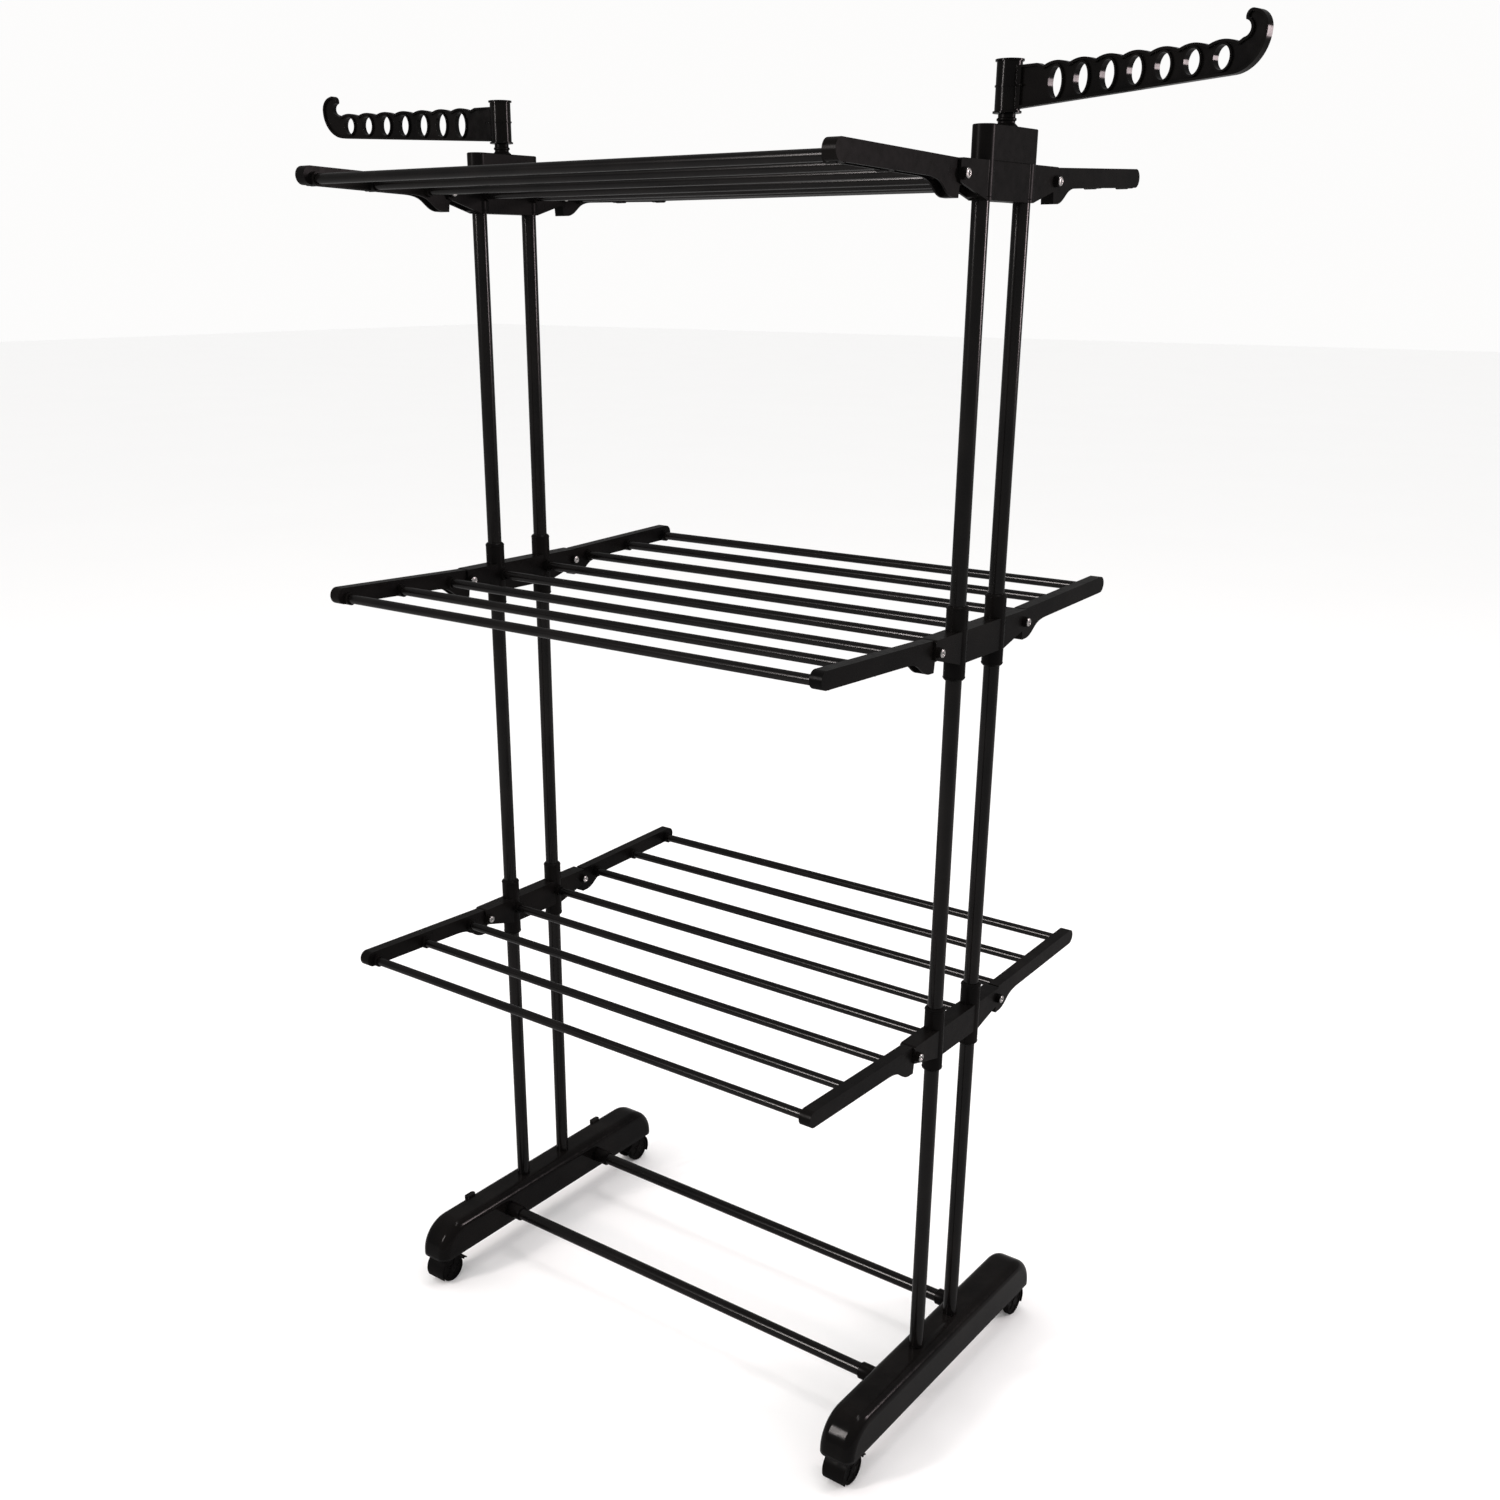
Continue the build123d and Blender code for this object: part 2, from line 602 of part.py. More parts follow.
def blade_outline():
    """The closed outline of blade and hook, as distance from the axis and height."""
    pitch = (HOLE_LAST[0] - HOLE_FIRST[0]) / (HOLE_COUNT - 1)
    start = HOLE_FIRST[0] - pitch / 2
    end = start + HOLE_COUNT * pitch
    root = (BLADE_ROOT, BLADE_UNDERSIDE)
    Line(root, HOOK_POINTS[0])
    for first, through, last in zip(HOOK_POINTS[0::2], HOOK_POINTS[1::2], HOOK_POINTS[2::2]):
        ThreePointArc(first, through, last)
    throat = (HOOK_POINTS[-1][0] - 3.5, SCALLOP_Z + 2.4)
    ThreePointArc(HOOK_POINTS[-1], throat, (end, SCALLOP_Z + SCALLOP_LIFT))
    for i in reversed(range(HOLE_COUNT)):
        low = (start + i * pitch, SCALLOP_Z + SCALLOP_LIFT * i / HOLE_COUNT)
        high = (low[0] + pitch, SCALLOP_Z + SCALLOP_LIFT * (i + 1) / HOLE_COUNT)
        crown = (low[0] + pitch / 2, high[1] + SCALLOP_RISE)
        ThreePointArc(high, crown, low)
    shoulder = SCALLOP_Z + SHOULDER_RISE
    Polyline((start, SCALLOP_Z), (start - SHOULDER_RUN, shoulder), (BLADE_ROOT, shoulder), root)


def make_hanger(side, turn):
    angle = math.radians(turn)
    out = Vector(side * math.cos(angle), -math.sin(angle), 0)
    middle = Plane(origin=(side * POST_X, 0, 0), x_dir=out, z_dir=out.cross(Vector(0, 0, 1)))
    with BuildPart() as hanger:
        with BuildSketch(middle.offset(-HANGER_HALF)):
            with BuildLine():
                blade_outline()
            make_face()
        extrude(amount=2 * HANGER_HALF)
        # a recess in each face leaves a rim round the edge and round every hole
        for face in (-1, 1):
            with BuildSketch(middle.offset(face * HANGER_WEB_HALF)):
                with BuildLine():
                    blade_outline()
                make_face()
                offset(amount=-HANGER_RIM)
                with Locations((0, HOLE_FIRST[1])):
                    Rectangle(2 * PANEL_START, 60, mode=Mode.SUBTRACT)
                for centre, size in hole_sizes():
                    with Locations(tuple(centre)):
                        Ellipse(size[0] / 2 + HOLE_RIM, size[1] / 2 + HOLE_RIM, mode=Mode.SUBTRACT)
            extrude(amount=face * HANGER_HALF, mode=Mode.SUBTRACT)
        with BuildSketch(middle.offset(-HANGER_HALF - 1)):
            for centre, size in hole_sizes():
                with Locations(tuple(centre)):
                    Ellipse(size[0] / 2, size[1] / 2)
        extrude(amount=2 * HANGER_HALF + 2, mode=Mode.SUBTRACT)
        # barrel with a flange at each end and a thin ring round its middle
        for bottom, top, radius in (
            (BARREL_BOTTOM, BARREL_TOP, BARREL_R),
            (BARREL_BOTTOM, BARREL_BOTTOM + 1.8, BARREL_FLANGE_R),
            (BARREL_TOP - 1.8, BARREL_TOP, BARREL_FLANGE_R),
            (BARREL_BOTTOM + 23.5, BARREL_BOTTOM + 24.9, BARREL_R + 0.9),
        ):
            with BuildSketch(Plane((side * POST_X, 0, bottom))):
                Circle(radius)
            extrude(amount=top - bottom)
        with BuildSketch(Plane((side * POST_X, 0, BARREL_BOTTOM))):
            Circle(SPINDLE_R + RUNNING)
        extrude(amount=BARREL_TOP - BARREL_BOTTOM, mode=Mode.SUBTRACT)
        with BuildSketch(Plane((side * POST_X, 0, SPINDLE_TOP - 0.3))):
            Circle(9)
        extrude(amount=BARREL_TOP - SPINDLE_TOP + 1, mode=Mode.SUBTRACT)
    return hanger.part


for name, side in SIDES.items():
    save(make_hanger(side, HANGER_TURN[name]), f"hanger_arm_{name}")

# ---- casters --------------------------------------------------------------------------------
with BuildPart() as stems:
    for side in SIDES.values():
        for end in ENDS.values():
            with BuildSketch(Plane((side * POST_X, end * STEM_Y, STEM_BOTTOM))):
                Circle(STEM_R)
            extrude(amount=STEM_TOP - STEM_BOTTOM - 1)
save(stems.part, "caster_stems")


def make_caster_body(side, end):
    """A hooded twin-wheel body: central web, hood with a lip, and a swivel boss."""
    x = side * POST_X
    plane = Plane(origin=(x, end * WHEEL_Y, WHEEL_R), x_dir=(0, end, 0), z_dir=(end, 0, 0))
    inner = HOOD_R - HOOD_WALL
    with BuildPart() as body:
        # hood: an arch from low on the outer side, over the top, to the lip
        with BuildSketch(plane.offset(-HOOD_HALF)):
            Circle(HOOD_R)
            Circle(inner, mode=Mode.SUBTRACT)
            with BuildLine():
                Polyline(*HOOD_MOUTH, close=True)
            make_face(mode=Mode.SUBTRACT)
            with BuildLine():
                Polyline(*HOOD_LIP, close=True)
            make_face()
        extrude(amount=2 * HOOD_HALF)
        with BuildSketch(plane.offset(-WHEEL_INNER + 0.5)):
            Circle(HUB_R)
            with BuildLine():
                Polyline(*HOOD_WEB, close=True)
            make_face()
        extrude(amount=2 * (WHEEL_INNER - 0.5))
        with BuildSketch(Plane((x, end * STEM_Y, STEM_BOTTOM))):
            Circle(STEM_R + RUNNING)
        extrude(amount=30, mode=Mode.SUBTRACT)
        with BuildSketch(plane.offset(-HOOD_HALF)):
            Circle(AXLE_R + RUNNING)
        extrude(amount=2 * HOOD_HALF, mode=Mode.SUBTRACT)
    return body.part


def make_wheels(side, end):
    x = side * POST_X
    with BuildPart() as wheels:
        for face in (-1, 1):
            with BuildSketch(across(x + face * WHEEL_INNER, end * WHEEL_Y, WHEEL_R, face)):
                Circle(WHEEL_R)
            extrude(amount=WHEEL_OUTER - WHEEL_INNER)
        rims = wheels.edges().filter_by(GeomType.CIRCLE)
        fillet(rims, 1.6)
        for face in (-1, 1):
            with BuildSketch(across(x + face * (WHEEL_OUTER - 1.2), end * WHEEL_Y, WHEEL_R, face)):
                Circle(WHEEL_R - 4)
                Circle(6, mode=Mode.SUBTRACT)
            extrude(amount=5, mode=Mode.SUBTRACT)
            with BuildSketch(across(x, end * WHEEL_Y, WHEEL_R, face)):
                Circle(AXLE_R + 0.02)
            extrude(amount=WHEEL_OUTER - 1.6, mode=Mode.SUBTRACT)
    return wheels.part


for side_name, side in SIDES.items():
    for end_name, end in ENDS.items():
        where = f"{end_name}_{side_name}"
        save(make_caster_body(side, end), f"caster_body_{where}")
        save(make_wheels(side, end), f"caster_wheels_{where}")
        with BuildPart() as axle:
            reach = WHEEL_OUTER - 1.8
            with BuildSketch(across(side * POST_X - reach, end * WHEEL_Y, WHEEL_R)):
                Circle(AXLE_R)
            extrude(amount=2 * reach)
        save(axle.part, f"caster_axle_{where}")
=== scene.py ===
"""Looks of the clothes drying rack: materials, moulded detail, light and camera.

Everything is in metres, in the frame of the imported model: +Z up, X along the bars,
Y from front to rear, origin on the floor under the middle of the rack.
"""
import json
import math

import bmesh
import bpy
from mathutils import Matrix, Vector


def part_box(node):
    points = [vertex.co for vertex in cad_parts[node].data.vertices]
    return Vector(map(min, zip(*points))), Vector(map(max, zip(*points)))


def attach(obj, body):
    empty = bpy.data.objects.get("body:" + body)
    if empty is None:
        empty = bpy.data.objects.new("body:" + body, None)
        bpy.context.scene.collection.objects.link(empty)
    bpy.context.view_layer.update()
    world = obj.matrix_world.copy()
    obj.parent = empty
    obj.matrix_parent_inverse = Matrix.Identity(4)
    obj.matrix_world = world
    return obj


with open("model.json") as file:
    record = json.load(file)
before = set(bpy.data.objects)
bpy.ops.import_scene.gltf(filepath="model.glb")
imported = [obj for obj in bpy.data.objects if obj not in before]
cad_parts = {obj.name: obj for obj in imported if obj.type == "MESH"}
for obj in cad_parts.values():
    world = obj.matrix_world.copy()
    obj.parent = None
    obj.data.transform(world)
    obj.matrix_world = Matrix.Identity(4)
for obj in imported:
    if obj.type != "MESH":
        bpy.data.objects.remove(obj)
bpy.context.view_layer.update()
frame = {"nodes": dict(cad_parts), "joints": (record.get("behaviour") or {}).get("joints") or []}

TIERS = ("low", "mid", "top")
SIDES = {"left": -1, "right": 1}
ENDS = {"front": -1, "rear": 1}
MM = 0.001
JOINTS = {joint["name"]: joint for joint in frame["joints"]}
NODES = frame["nodes"]

# ---- looks ------------------------------------------------------------------------
WARM_BLACK = (0.0048, 0.0041, 0.0038)
DEEP_BLACK = (0.0024, 0.0022, 0.0022)
# Dust grey with painted top light, laid on faces that look up
DUST_AND_TOP_LIGHT = (0.050, 0.045, 0.043)
DULL_ZINC = (0.50, 0.49, 0.48)
BRIGHT_ZINC = (0.78, 0.77, 0.75)

# ---- shapes -----------------------------------------------------------------------
# rounding of a CAD node's hard edges in millimetres, by the first word of its name
EDGE_SOFTENING = {"bracket": 0.7, "wing": 0.9, "top": 0.6, "hanger": 0.4, "caster": 0.35}
SHARP_EDGE = math.radians(32)
WELD_GAP = 0.00001
FLAT_ANGLE = math.radians(0.3)

SLEEVE_WALL = 3.0 * MM
LIP_DROP = 3.2 * MM
LIP_BEAD = 0.42 * MM
CREST_WIDTH = 0.9 * MM
CREST_HEIGHT = 0.22 * MM

BARREL_R = 12.6 * MM
BARREL_BEAD_Z = 1556.0 * MM
BARREL_BEAD = 0.75 * MM
BLADE_HALF = 4.0 * MM
BLADE_RIB_RUN = (11 * MM, 16 * MM, 20 * MM)  # out from the barrel's axis
BLADE_RIB_WIDTH = 2.2 * MM
BLADE_RIB_HEIGHT = 1.0 * MM

# a rivet's rolled rim in section: share of the head's radius, and millimetres off the head
RIVET_ROLL = ((0.40, -0.5), (0.42, 0.1), (0.52, 0.42), (0.66, 0.46), (0.80, 0.30), (0.90, -0.1), (0.92, -0.5))
RIVET_CRIMPS = 6
RIVET_RIPPLE = 0.018

TREAD_SHARES = (0.3, 0.5, 0.7)  # where its tread ribs run, across a wheel's width
TREAD_BEAD = 0.3 * MM
SPOKES = 5
SPOKE_SHARES = (0.27, 0.5, 0.77)  # from hub to rim, in shares of the wheel's radius
SPOKE_WIDTH = 1.6 * MM
SPOKE_HEIGHT = 0.7 * MM
# a caster wheel's hub in section: share of the wheel's radius, and millimetres off its recess
HUB_PROFILE = ((0.10, -0.6), (0.10, 0.9), (0.14, 1.2), (0.22, 1.2), (0.28, 0.8), (0.30, -0.6))

# a raised bar in section: share of its width, and share of its height
RIB_PROFILE = ((-0.5, -0.5), (-0.5, 0.3), (-0.28, 0.8), (0.0, 1.0), (0.28, 0.8), (0.5, 0.3), (0.5, -0.5))

# ---- studio -----------------------------------------------------------------------
ROOM_STRENGTH = 0.22
BACKDROP_STRENGTH = 0.98
BACKDROP_COLOUR = (1.0, 0.995, 0.99, 1.0)
FLOOR_HALF = 30.0
FLOOR_PALE = (0.978, 0.978, 0.978)
FLOOR_PALER = (0.984, 0.984, 0.984)
FLOOR_IN_GLOSS = (0.30, 0.30, 0.30)
# each soft light: name, place, width, height, watts and colour
LIGHTS = (
    ("window_pane_1", (-1.62, -3.36, 2.5), 0.10, 1.5, 34.0, (1.0, 0.93, 0.91)),
    ("window_pane_2", (-1.38, -3.46, 2.5), 0.10, 1.5, 34.0, (1.0, 0.93, 0.91)),
    ("overhead", (0.2, 0.6, 4.2), 2.4, 0.5, 30.0, (1.0, 0.95, 0.95)),
    ("strip_right", (3.3, 2.4, 1.8), 0.4, 1.2, 45.0, (1.0, 0.84, 0.86)),
)
LIGHT_TARGET = (0.0, 0.0, 0.9)
CAMERA_PLACE = (1.16138, -1.56234, 1.39062)
CAMERA_YAW = 37.327
CAMERA_DOWN = 20.731
CAMERA_LENS = 38.29
CAMERA_SHIFT = (0.0301, 0.0803)


# ---- shader helpers ---------------------------------------------------------------
class Shader:
    """One node material: a Principled shader and the few nodes that feed it."""

    def __init__(self, name):
        self.material = bpy.data.materials.new(name)
        self.material.use_nodes = True
        self.tree = self.material.node_tree
        self.surface = self.tree.nodes["Principled BSDF"]
        coords = self.tree.nodes.new("ShaderNodeTexCoord")
        self.position = coords.outputs["Object"]
        self.height = None

    def set(self, **values):
        for name, value in values.items():
            self.surface.inputs[name.replace("_", " ")].default_value = value

    def link(self, output, socket):
        self.tree.links.new(output, socket)

    def feed(self, output, name):
        self.link(output, self.surface.inputs[name])

    def stretched(self, scale):
        mapping = self.tree.nodes.new("ShaderNodeMapping")
        mapping.inputs["Scale"].default_value = scale
        self.link(self.position, mapping.inputs["Vector"])
        return mapping.outputs["Vector"]

    def noise(self, scale, detail=2.0, along=None):
        """Noise with this many cells in a metre, or stretched by the given scales."""
        node = self.tree.nodes.new("ShaderNodeTexNoise")
        node.inputs["Scale"].default_value = scale
        node.inputs["Detail"].default_value = detail
        self.link(along or self.position, node.inputs["Vector"])
        return node.outputs["Fac"]

    def ramp(self, value, *stops):
        node = self.tree.nodes.new("ShaderNodeValToRGB")
        band = node.color_ramp
        while len(band.elements) < len(stops):
            band.elements.new(0.5)
        for element, (place, colour) in zip(band.elements, stops):
            element.position = place
            element.color = (*colour, 1.0)
        self.link(value, node.inputs["Fac"])
        return node.outputs["Color"]

    def span(self, value, low, high, start=0.3, end=0.7):
        """Value mapped from start..end to low..high."""
        node = self.tree.nodes.new("ShaderNodeMapRange")
        node.inputs["From Min"].default_value = start
        node.inputs["From Max"].default_value = end
        node.inputs["To Min"].default_value = low
        node.inputs["To Max"].default_value = high
        self.link(value, node.inputs["Value"])
        return node.outputs["Result"]

    def mix(self, factor, first, second):
        node = self.tree.nodes.new("ShaderNodeMix")
        node.data_type = "RGBA"
        self.link(factor, node.inputs["Factor"])
        for value, socket in ((first, node.inputs["A"]), (second, node.inputs["B"])):
            if isinstance(value, tuple):
                socket.default_value = (*value, 1.0)
            else:
                self.link(value, socket)
        return node.outputs["Result"]

    def product(self, first, second):
        node = self.tree.nodes.new("ShaderNodeMath")
        node.operation = "MULTIPLY"
        self.link(first, node.inputs[0])
        self.link(second, node.inputs[1])
        return node.outputs["Value"]

    def bump(self, height, depth, strength=1.0):
        node = self.tree.nodes.new("ShaderNodeBump")
        node.inputs["Distance"].default_value = depth
        node.inputs["Strength"].default_value = strength
        self.link(height, node.inputs["Height"])
        if self.height is not None:
            self.link(self.height, node.inputs["Normal"])
        self.height = node.outputs["Normal"]
        self.feed(self.height, "Normal")

    def dusted_and_top_lit(self, colour, dust_and_light, strength):
        """Dust and painted top light: faces that look up are painted lighter, in patches."""
        geometry = self.tree.nodes.new("ShaderNodeNewGeometry")
        split = self.tree.nodes.new("ShaderNodeSeparateXYZ")
        self.link(geometry.outputs["Normal"], split.inputs["Vector"])
        # Painted top light on faces that look up. Dust settles there too, in patches.
        upward = self.span(split.outputs["Z"], 0.0, strength, 0.55, 1.0)
        dust_and_top_light_mask = self.product(upward, self.span(self.noise(38.0, 5.0), 0.15, 1.0))
        return self.mix(dust_and_top_light_mask, colour, dust_and_light)


# ---- materials --------------------------------------------------------------------
def moulded_plastic(name, rough_low, rough_high, grain, specular):
    """Injection-moulded black plastic: faint flow mottling, orange peel and fine grain."""
    shader = Shader(name)
    mottled = shader.ramp(shader.noise(14.0, 4.0), (0.35, DEEP_BLACK), (0.68, WARM_BLACK))
    # Dust and painted top light make faces that look up lighter.
    shader.feed(shader.dusted_and_top_lit(mottled, DUST_AND_TOP_LIGHT, 0.06), "Base Color")
    shader.feed(shader.span(shader.noise(120.0, 5.0), rough_low, rough_high), "Roughness")
    shader.set(Specular_IOR_Level=specular, IOR=1.5)
    shader.bump(shader.noise(55.0, 1.0), 0.00022, 0.20)
    shader.bump(shader.noise(1500.0, 3.0), 0.00005, grain)
    return shader.material


def painted_tube(name, along):
    """Black powder paint over drawn steel tube, with faint lines along the tube."""
    shader = Shader(name)
    drawn = shader.noise(1.0, 3.0, shader.stretched(along))
    mottled = shader.ramp(shader.noise(20.0, 4.0), (0.35, DEEP_BLACK), (0.7, WARM_BLACK))
    # Dust and painted top light make faces that look up lighter.
    shader.feed(shader.dusted_and_top_lit(mottled, DUST_AND_TOP_LIGHT, 0.05), "Base Color")
    shader.feed(shader.span(drawn, 0.16, 0.20), "Roughness")
    shader.set(Specular_IOR_Level=0.26, IOR=1.5)
    return shader.material


def plated_steel(name):
    """Bright zinc plating, finely scratched, dulled in patches."""
    shader = Shader(name)
    scratches = shader.noise(1.0, 4.0, shader.stretched((300.0, 2600.0, 900.0)))
    colour = shader.ramp(shader.noise(160.0, 3.0), (0.3, DULL_ZINC), (0.7, BRIGHT_ZINC))
    shader.feed(colour, "Base Color")
    shader.feed(shader.span(shader.noise(420.0, 4.0), 0.18, 0.36), "Roughness")
    shader.set(Metallic=1.0)
    shader.bump(scratches, 0.00003, 0.5)
    return shader.material


MATERIALS = {
    "gloss_plastic": moulded_plastic("black_satin_plastic", 0.26, 0.36, 0.15, 0.06),
    "foot_plastic": moulded_plastic("black_gloss_plastic", 0.12, 0.19, 0.05, 0.11),
    "matte_plastic": moulded_plastic("black_caster_plastic", 0.34, 0.50, 0.30, 0.05),
    "bars": painted_tube("black_painted_bars", (3.0, 900.0, 900.0)),
    "posts": painted_tube("black_painted_posts", (900.0, 900.0, 3.0)),
    "bright_steel": plated_steel("zinc_plated_steel"),
}


def material_for(node):
    if node.startswith(("foot_", "hanger_arm_")):
        return "foot_plastic"
    if node.startswith("posts_"):
        return "posts"
    if node.startswith(("centre_bars_", "wing_bars_")) or node == "stretchers":
        return "bars"
    if node.startswith(("caster_body_", "caster_wheels_")):
        return "matte_plastic"
    if node.startswith(("hinge_rivets", "hanger_screws", "caster_stems", "caster_axle_")):
        return "bright_steel"
    return "gloss_plastic"


def soften_edges(piece, width, segments=2):
    soften = piece.modifiers.new("soften", "BEVEL")
    soften.width = width
    soften.segments = segments
    soften.limit_method = "ANGLE"
    soften.angle_limit = SHARP_EDGE
    soften.use_clamp_overlap = True


def even_normals(piece):
    piece.data.shade_smooth()
    even = piece.modifiers.new("even_normals", "WEIGHTED_NORMAL")
    even.keep_sharp = False
    even.weight = 60


def finish_cad_node(name, node):
    """Material, softened edges and clean shading on a carried-over node."""
    node.data.materials.clear()
    node.data.materials.append(MATERIALS[material_for(name)])
    weld = node.modifiers.new("weld", "WELD")
    weld.merge_threshold = WELD_GAP
    flat = node.modifiers.new("join_flats", "DECIMATE")
    flat.decimate_type = "DISSOLVE"
    flat.angle_limit = FLAT_ANGLE
    kind = name.split("_")[0]
    if kind in EDGE_SOFTENING:
        soften_edges(node, EDGE_SOFTENING[kind] * MM)
    even_normals(node)


for name, node in NODES.items():
    finish_cad_node(name, node)


# ---- moulded detail on the CAD parts --------------------------------------------------
def new_piece(name, shape, body, look):
    """A mesh piece in the row frame that rides on a body."""
    mesh = bpy.data.meshes.new(name)
    shape.normal_update()
    shape.to_mesh(mesh)
    shape.free()
    piece = bpy.data.objects.new(name, mesh)
    bpy.context.scene.collection.objects.link(piece)
    mesh.materials.append(MATERIALS[look])
    even_normals(piece)
    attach(piece, body)
    return piece


def frame_at(place, axis):
    """A transform whose Z is the axis and whose origin is the place."""
    turn = Vector(axis).to_track_quat("Z", "Y").to_matrix().to_4x4()
    return Matrix.Translation(Vector(place)) @ turn


def ring(shape, profile, transform, segments=48, ripple=None):
    """Turn a closed profile of (radius, height) points about the transform's Z."""
    rows = []
    for step in range(segments):
        angle = math.tau * step / segments
        swell = 1.0 + (ripple(angle) if ripple else 0.0)
        row = [(r * swell * math.cos(angle), r * swell * math.sin(angle), z) for r, z in profile]
        rows.append([shape.verts.new(transform @ Vector(point)) for point in row])
    count = len(profile)
    for step in range(segments):
        first, second = rows[step], rows[(step + 1) % segments]
        for i in range(count):
            j = (i + 1) % count
            shape.faces.new((first[i], second[i], second[j], first[j]))


def bead(radius, thickness, corners=10):
    """A round bead's section at this radius, as ring() wants it."""
    angles = [math.tau * i / corners for i in range(corners)]
    return [(radius + thickness * math.cos(a), thickness * math.sin(a)) for a in angles]


def rib(shape, points, width_axis, width, height_axis, height):
    """A raised bar with a rounded back along a run of points."""
    across = Vector(width_axis)
    up = Vector(height_axis)
    rows = []
    for point in points:
        base = Vector(point)
        offsets = [across * (a * width) + up * (h * height) for a, h in RIB_PROFILE]
        rows.append([shape.verts.new(base + offset) for offset in offsets])
    for first, second in zip(rows, rows[1:]):
        for i in range(len(RIB_PROFILE)):
            j = (i + 1) % len(RIB_PROFILE)
            shape.faces.new((first[i], first[j], second[j], second[i]))
    shape.faces.new(list(reversed(rows[0])))
    shape.faces.new(rows[-1])


def solid_boxes(node):
    """The low and high corners of each separate solid of a node."""
    mesh = NODES[node].data
    shape = bmesh.new()
    shape.from_mesh(mesh)
    bmesh.ops.remove_doubles(shape, verts=shape.verts, dist=WELD_GAP)
    left = set(shape.verts)
    boxes = []
    while left:
        todo = [left.pop()]
        island = []
        while todo:
            vertex = todo.pop()
            island.append(vertex.co.copy())
            for edge in vertex.link_edges:
                other = edge.other_vert(vertex)
                if other in left:
                    left.remove(other)
                    todo.append(other)
        low = Vector([min(point[i] for point in island) for i in range(3)])
        high = Vector([max(point[i] for point in island) for i in range(3)])
        boxes.append((low, high))
    shape.free()
    return sorted(boxes, key=lambda corners: tuple(corners[0]))


def sleeve_details():
    """A lip at each sleeve's mouth and a mould line down each boss's crest."""
    for tier in TIERS:
        for side_name, side in SIDES.items():
            low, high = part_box(f"bracket_{tier}_{side_name}")
            shape = bmesh.new()
            for post_low, post_high in solid_boxes(f"posts_lower_{side_name}"):
                middle = (post_low + post_high) / 2
                radius = (post_high.x - post_low.x) / 2
                boss = radius + SLEEVE_WALL
                bottom = low.z
                top = high.z
                lips = [bottom + LIP_DROP]
                if tier != "top":
                    lips.append(top - LIP_DROP)
                for z in lips:
                    place = frame_at((middle.x, middle.y, z), (0, 0, 1))
                    ring(shape, bead(boss + 0.05 * MM, LIP_BEAD), place)
                crest = middle.x + side * (boss + 0.06 * MM)
                run = [(crest, middle.y, z) for z in (bottom + 2 * LIP_DROP, top - 2 * LIP_DROP)]
                rib(shape, run, (0, 1, 0), CREST_WIDTH, (side, 0, 0), CREST_HEIGHT)
            new_piece(f"bracket_mould_lines_{tier}_{side_name}", shape, "frame", "gloss_plastic")


def rivet_details():
    """The rolled and crimped rim of each tubular rivet, on both faces of its boss."""
    shape = bmesh.new()
    for low, high in solid_boxes("hinge_rivets"):
        middle = (low + high) / 2
        head = (high.z - low.z) / 2
        for face, x in ((-1, low.x), (1, high.x)):
            place = frame_at((x - face * 0.15 * MM, middle.y, middle.z), (face, 0, 0))
            rim = [(head * r, z * MM) for r, z in RIVET_ROLL]
            ring(shape, rim, place, 48, lambda angle: RIVET_RIPPLE * math.cos(RIVET_CRIMPS * angle))
    new_piece("hinge_rivet_rolls", shape, "frame", "bright_steel")


def wheel_details():
    """Hub caps with spokes, and tread ribs round each caster wheel."""
    for end_name in ENDS:
        for side_name in SIDES:
            where = f"{end_name}_{side_name}"
            shape = bmesh.new()
            for low, high in solid_boxes(f"caster_wheels_{where}"):
                middle = (low + high) / 2
                radius = (high.z - low.z) / 2
                outward = 1 if middle.x > JOINTS[f"wheels_{where}_roll"]["pos_m"][0] else -1
                face_x = high.x if outward > 0 else low.x
                for share in TREAD_SHARES:
                    x = low.x + share * (high.x - low.x)
                    place = frame_at((x, middle.y, middle.z), (1, 0, 0))
                    ring(shape, bead(radius - 0.32 * MM, TREAD_BEAD, 8), place, 72)
                centre = Vector((face_x - outward * 1.0 * MM, middle.y, middle.z))
                hub = [(r * radius, z * MM) for r, z in HUB_PROFILE]
                ring(shape, hub, frame_at(centre, (outward, 0, 0)), 36)
                for spoke in range(SPOKES):
                    angle = math.tau * spoke / SPOKES
                    way = Vector((0, math.cos(angle), math.sin(angle)))
                    beside = Vector((0, -math.sin(angle), math.cos(angle)))
                    run = [centre + way * (radius * share) for share in SPOKE_SHARES]
                    rib(shape, run, beside, SPOKE_WIDTH, (outward, 0, 0), SPOKE_HEIGHT)
            new_piece(f"caster_wheel_detail_{where}", shape, f"wheels_{where}", "matte_plastic")


def barrel_details():
    """A bead round each hanger's barrel and a tapered rib out along both faces of its blade."""
    for side_name in SIDES:
        pivot = Vector(JOINTS[f"hanger_{side_name}_swivel"]["pos_m"])
        points = [vertex.co for vertex in NODES[f"hanger_arm_{side_name}"].data.vertices]
        tip = max(points, key=lambda point: (point.xy - pivot.xy).length)
        along = Vector((tip.x - pivot.x, tip.y - pivot.y, 0.0)).normalized()
        beside = Vector((-along.y, along.x, 0.0))
        ring_centre = Vector((pivot.x, pivot.y, BARREL_BEAD_Z))
        shape = bmesh.new()
        ring(shape, bead(BARREL_R + 0.1 * MM, BARREL_BEAD), frame_at(ring_centre, (0, 0, 1)))
        for face in (-1, 1):
            skin = beside * face * BLADE_HALF
            run = [ring_centre + along * out + skin for out in BLADE_RIB_RUN]
            rib(shape, run, (0, 0, 1), BLADE_RIB_WIDTH, beside * face, BLADE_RIB_HEIGHT)
        new_piece(f"hanger_barrel_bead_{side_name}", shape, f"hanger_{side_name}", "foot_plastic")


sleeve_details()
rivet_details()
barrel_details()
wheel_details()


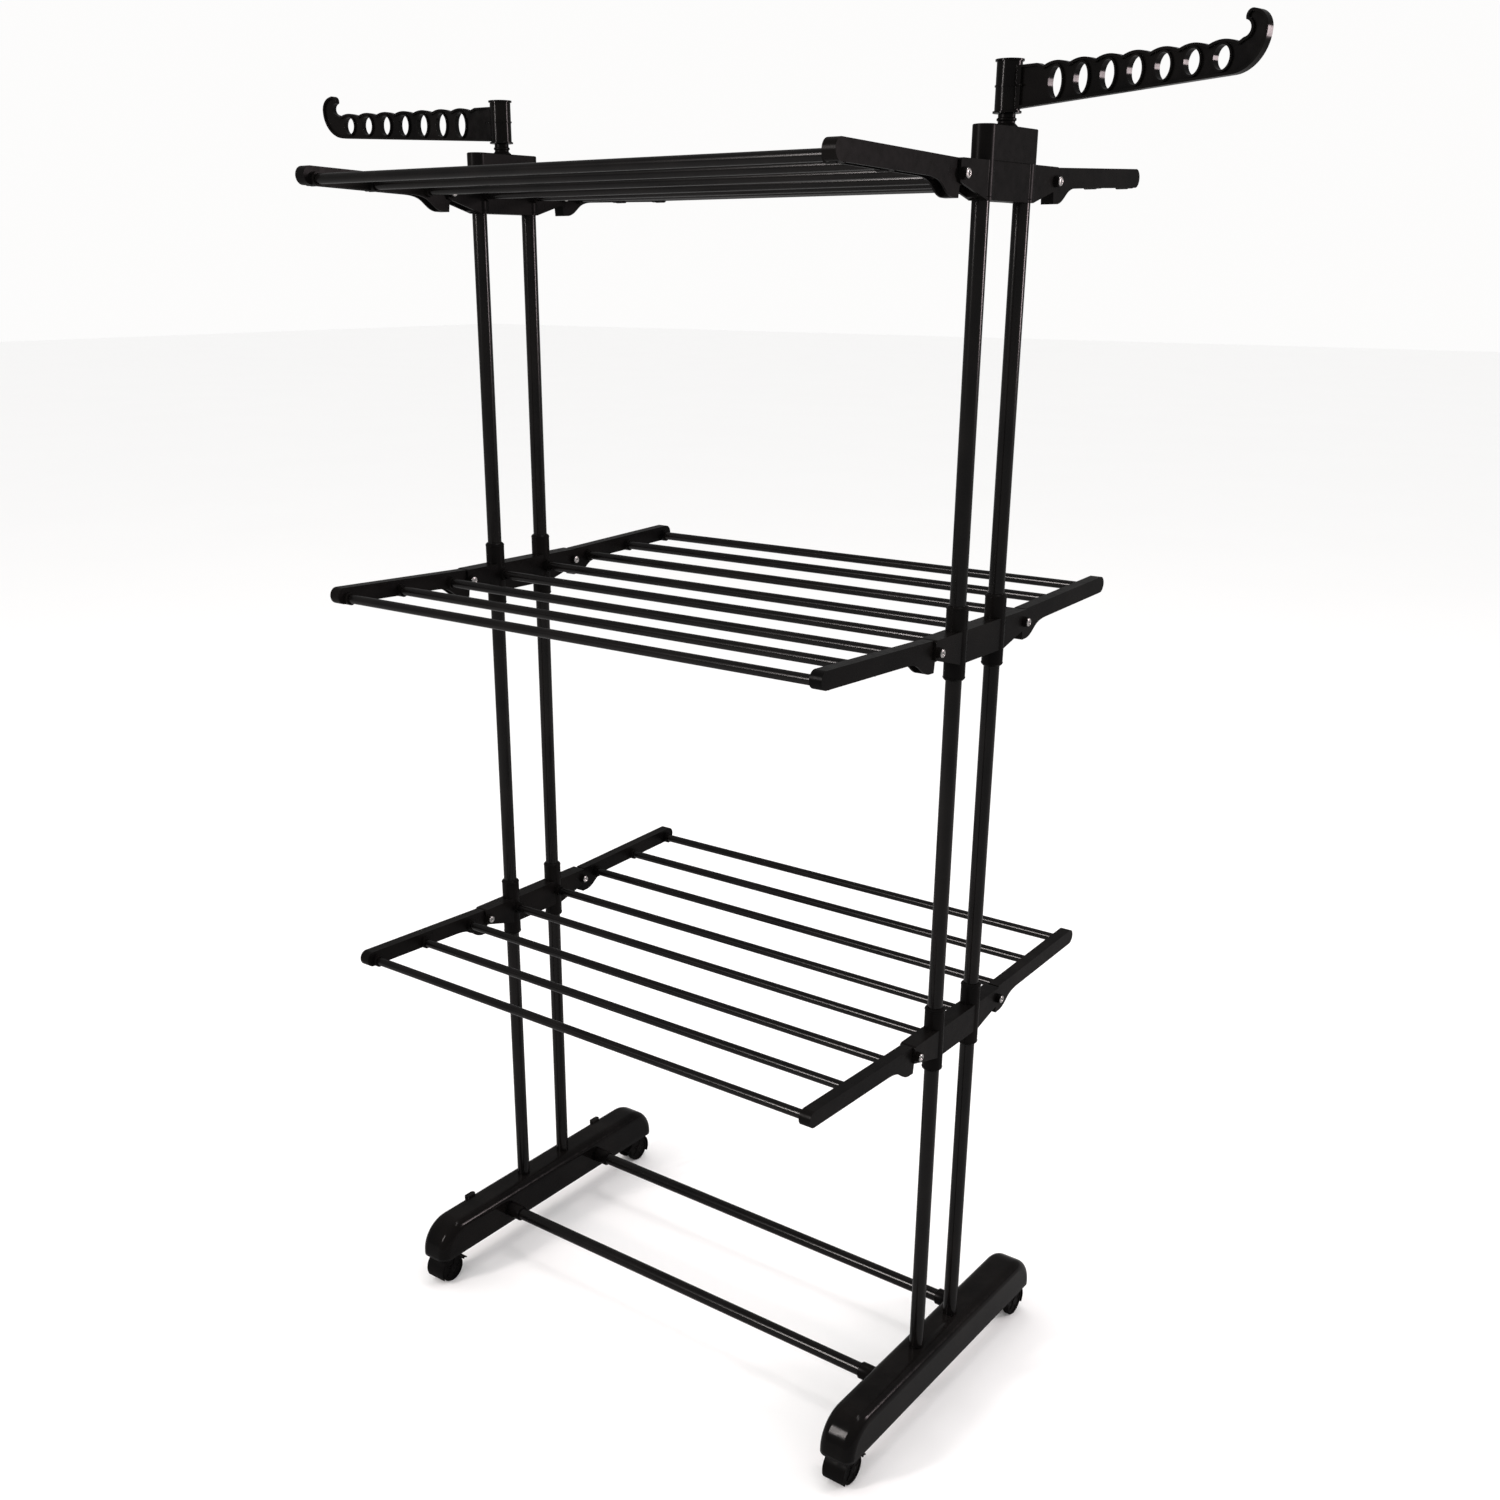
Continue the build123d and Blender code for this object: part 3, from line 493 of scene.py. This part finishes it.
# ---- floor, light and camera ----------------------------------------------------------
def make_floor():
    mesh = bpy.data.meshes.new("studio_floor")
    grid = bmesh.new()
    bmesh.ops.create_grid(grid, x_segments=8, y_segments=8, size=FLOOR_HALF)
    grid.to_mesh(mesh)
    grid.free()
    floor = bpy.data.objects.new("studio_floor", mesh)
    bpy.context.scene.collection.objects.link(floor)
    shader = Shader("pale_floor")
    tint = shader.ramp(shader.noise(1.2, 2.0), (0.3, FLOOR_PALE), (0.7, FLOOR_PALER))
    # the gloss sees the floor as dim as it sees the room
    seen = shader.tree.nodes.new("ShaderNodeLightPath")
    shader.feed(shader.mix(seen.outputs["Is Glossy Ray"], tint, FLOOR_IN_GLOSS), "Base Color")
    shader.set(Roughness=0.9, Specular_IOR_Level=0.1)
    mesh.materials.append(shader.material)


def area_light(name, place, width, height, power, colour):
    data = bpy.data.lights.new(name, "AREA")
    data.shape = "RECTANGLE"
    data.size = width
    data.size_y = height
    data.energy = power
    data.color = colour
    light = bpy.data.objects.new(name, data)
    light.location = place
    aim = Vector(LIGHT_TARGET) - Vector(place)
    light.rotation_euler = aim.to_track_quat("-Z", "Y").to_euler()
    bpy.context.scene.collection.objects.link(light)


def make_light():
    for light in LIGHTS:
        area_light(*light)
    world = bpy.data.worlds.new("studio")
    world.use_nodes = True
    nodes = world.node_tree.nodes
    sky = nodes["Background"]
    sky.inputs["Color"].default_value = BACKDROP_COLOUR
    # the backdrop is bright, while the gloss reflects a dimmer room
    seen = nodes.new("ShaderNodeLightPath")
    strength = nodes.new("ShaderNodeMapRange")
    strength.inputs["To Min"].default_value = BACKDROP_STRENGTH
    strength.inputs["To Max"].default_value = ROOM_STRENGTH
    world.node_tree.links.new(seen.outputs["Is Glossy Ray"], strength.inputs["Value"])
    world.node_tree.links.new(strength.outputs["Result"], sky.inputs["Strength"])
    bpy.context.scene.world = world
    bpy.context.scene.view_settings.view_transform = "Standard"


def make_camera():
    data = bpy.data.cameras.new("camera")
    data.sensor_width = 36.0
    data.lens = CAMERA_LENS
    data.shift_x, data.shift_y = CAMERA_SHIFT
    data.clip_end = 100.0
    camera = bpy.data.objects.new("camera", data)
    camera.location = CAMERA_PLACE
    camera.rotation_euler = (math.radians(90 - CAMERA_DOWN), 0.0, math.radians(CAMERA_YAW))
    bpy.context.scene.collection.objects.link(camera)
    bpy.context.scene.camera = camera


make_floor()
make_light()
make_camera()
